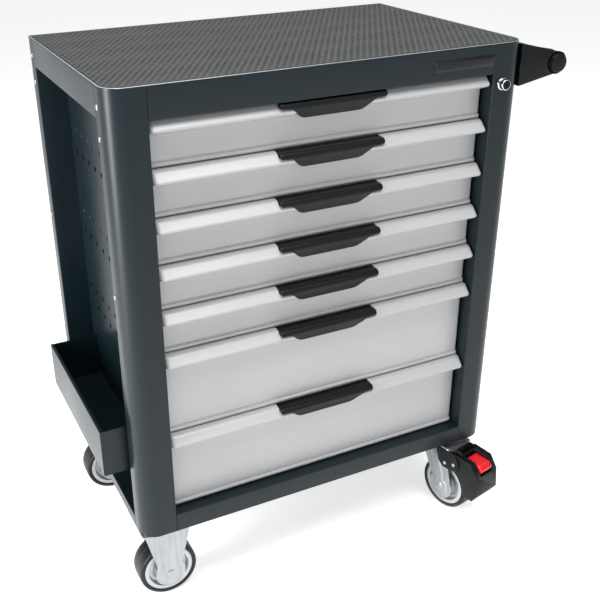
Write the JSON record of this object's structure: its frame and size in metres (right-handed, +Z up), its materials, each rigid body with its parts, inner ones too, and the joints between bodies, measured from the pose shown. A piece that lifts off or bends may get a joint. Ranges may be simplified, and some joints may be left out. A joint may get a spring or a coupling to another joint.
{
  "type": "rolling tool chest",
  "caption": "Rolling tool chest: dark slate steel cabinet, silver drawers with black finger grips, side bin, push bar, rubber-matted top, fixed and braked swivel casters.",
  "frame": {"origin": "on the floor, under the middle of the whole chest in plan", "axes": "+Z up, +X to the chest's right side where the push bar is, -Y out of the drawer fronts"},
  "size_m": [0.821, 0.5046, 0.9015],
  "materials": {
    "frame_paint": "dark slate powder coat, satin",
    "drawer_paint": "light silver-grey satin paint",
    "tray_paint": "dark grey satin paint",
    "zinc_steel": "bright zinc plate",
    "lock_chrome": "polished chrome",
    "mat_rubber": "matt, studded",
    "black_plastic": "fine grain",
    "black_gloss": "gloss",
    "red_plastic": "gloss",
    "wheel_grey": "satin grey",
    "tyre_rubber": "smooth black tread"
  },
  "bodies": {
    "cabinet": {"front_left_post": "frame_paint", "front_right_post": "frame_paint", "rear_posts": "frame_paint", "side_panels": "frame_paint", "back_panel": "frame_paint", "top_tray": "frame_paint", "top_mat": "mat_rubber", "base_pan": "frame_paint", "cabinet_slide_rails": "zinc_steel", "badge_plate": "black_gloss", "lock_cylinder": "lock_chrome", "side_bin": "frame_paint", "handle_brackets": "black_plastic", "handle_grip": "black_plastic", "caster_mounts": "zinc_steel", "fasteners": "zinc_steel"},
    "drawer_1": {"drawer_1_front": "drawer_paint", "drawer_1_grip": "black_plastic", "drawer_1_box": "tray_paint", "drawer_1_rails": "zinc_steel"},
    "drawer_2": {"drawer_2_front": "drawer_paint", "drawer_2_grip": "black_plastic", "drawer_2_box": "tray_paint", "drawer_2_rails": "zinc_steel"},
    "drawer_3": {"drawer_3_front": "drawer_paint", "drawer_3_grip": "black_plastic", "drawer_3_box": "tray_paint", "drawer_3_rails": "zinc_steel"},
    "drawer_4": {"drawer_4_front": "drawer_paint", "drawer_4_grip": "black_plastic", "drawer_4_box": "tray_paint", "drawer_4_rails": "zinc_steel"},
    "drawer_5": {"drawer_5_front": "drawer_paint", "drawer_5_grip": "black_plastic", "drawer_5_box": "tray_paint", "drawer_5_rails": "zinc_steel"},
    "drawer_6": {"drawer_6_front": "drawer_paint", "drawer_6_grip": "black_plastic", "drawer_6_box": "tray_paint", "drawer_6_rails": "zinc_steel"},
    "drawer_7": {"drawer_7_front": "drawer_paint", "drawer_7_grip": "black_plastic", "drawer_7_box": "tray_paint", "drawer_7_rails": "zinc_steel"},
    "lock_core": {"lock_plug": "lock_chrome"},
    "lock_bar": {"lock_bar": "zinc_steel"},
    "front_left_wheel": {"front_left_hub": "wheel_grey", "front_left_tyre": "tyre_rubber"},
    "front_right_swivel": {"front_right_fork": "zinc_steel", "front_right_brake_cover": "black_plastic"},
    "front_right_wheel": {"front_right_hub": "wheel_grey", "front_right_tyre": "tyre_rubber"},
    "front_right_pedal": {"front_right_brake_pedal": "red_plastic"},
    "rear_left_wheel": {"rear_left_hub": "wheel_grey", "rear_left_tyre": "tyre_rubber"},
    "rear_right_swivel": {"rear_right_fork": "zinc_steel", "rear_right_brake_cover": "black_plastic"},
    "rear_right_wheel": {"rear_right_hub": "wheel_grey", "rear_right_tyre": "tyre_rubber"},
    "rear_right_pedal": {"rear_right_brake_pedal": "red_plastic"}
  },
  "joints": [
    {"name": "drawer_1_slide", "type": "slide", "parent": "cabinet", "child": "drawer_1", "axis": [0, -1, 0], "range_m": [0, 0.29]},
    {"name": "drawer_2_slide", "type": "slide", "parent": "cabinet", "child": "drawer_2", "axis": [0, -1, 0], "range_m": [0, 0.29]},
    {"name": "drawer_3_slide", "type": "slide", "parent": "cabinet", "child": "drawer_3", "axis": [0, -1, 0], "range_m": [0, 0.29]},
    {"name": "drawer_4_slide", "type": "slide", "parent": "cabinet", "child": "drawer_4", "axis": [0, -1, 0], "range_m": [0, 0.29]},
    {"name": "drawer_5_slide", "type": "slide", "parent": "cabinet", "child": "drawer_5", "axis": [0, -1, 0], "range_m": [0, 0.29]},
    {"name": "drawer_6_slide", "type": "slide", "parent": "cabinet", "child": "drawer_6", "axis": [0, -1, 0], "range_m": [0, 0.29]},
    {"name": "drawer_7_slide", "type": "slide", "parent": "cabinet", "child": "drawer_7", "axis": [0, -1, 0], "range_m": [0, 0.29]},
    {"name": "lock_turn", "type": "hinge", "parent": "cabinet", "child": "lock_core", "pos_m": [0.2775, -0.17768, 0.837], "axis": [0, -1, 0], "range_deg": [0, 90]},
    {"name": "lock_bar_slide", "type": "slide", "parent": "cabinet", "child": "lock_bar", "axis": [0, 0, -1], "range_m": [0, 0.01202]},
    {"name": "front_left_roll", "type": "hinge", "parent": "cabinet", "child": "front_left_wheel", "pos_m": [-0.3215, -0.12768, 0.052], "axis": [0, 1, 0], "continuous": true},
    {"name": "front_right_swivel_turn", "type": "hinge", "parent": "cabinet", "child": "front_right_swivel", "pos_m": [0.2585, -0.12768, 0.155], "axis": [0, 0, 1], "continuous": true},
    {"name": "front_right_roll", "type": "hinge", "parent": "front_right_swivel", "child": "front_right_wheel", "pos_m": [0.26637, -0.16178, 0.052], "axis": [0.9744, 0.225, 0], "continuous": true},
    {"name": "front_right_brake_press", "type": "hinge", "parent": "front_right_swivel", "child": "front_right_pedal", "pos_m": [0.27672, -0.2066, 0.128], "axis": [0.9744, 0.225, 0], "range_deg": [0, 8]},
    {"name": "rear_left_roll", "type": "hinge", "parent": "cabinet", "child": "rear_left_wheel", "pos_m": [-0.3215, 0.20232, 0.052], "axis": [0, 1, 0], "continuous": true},
    {"name": "rear_right_swivel_turn", "type": "hinge", "parent": "cabinet", "child": "rear_right_swivel", "pos_m": [0.2585, 0.20232, 0.155], "axis": [0, 0, 1], "continuous": true},
    {"name": "rear_right_roll", "type": "hinge", "parent": "rear_right_swivel", "child": "rear_right_wheel", "pos_m": [0.26637, 0.16822, 0.052], "axis": [0.9744, 0.225, 0], "continuous": true},
    {"name": "rear_right_brake_press", "type": "hinge", "parent": "rear_right_swivel", "child": "rear_right_pedal", "pos_m": [0.27672, 0.1234, 0.128], "axis": [0.9744, 0.225, 0], "range_deg": [0, 8]}
  ],
  "couplings": [
    {"joint": "lock_turn", "follows": "lock_bar_slide", "rad_per_m": 130.67}
  ]
}
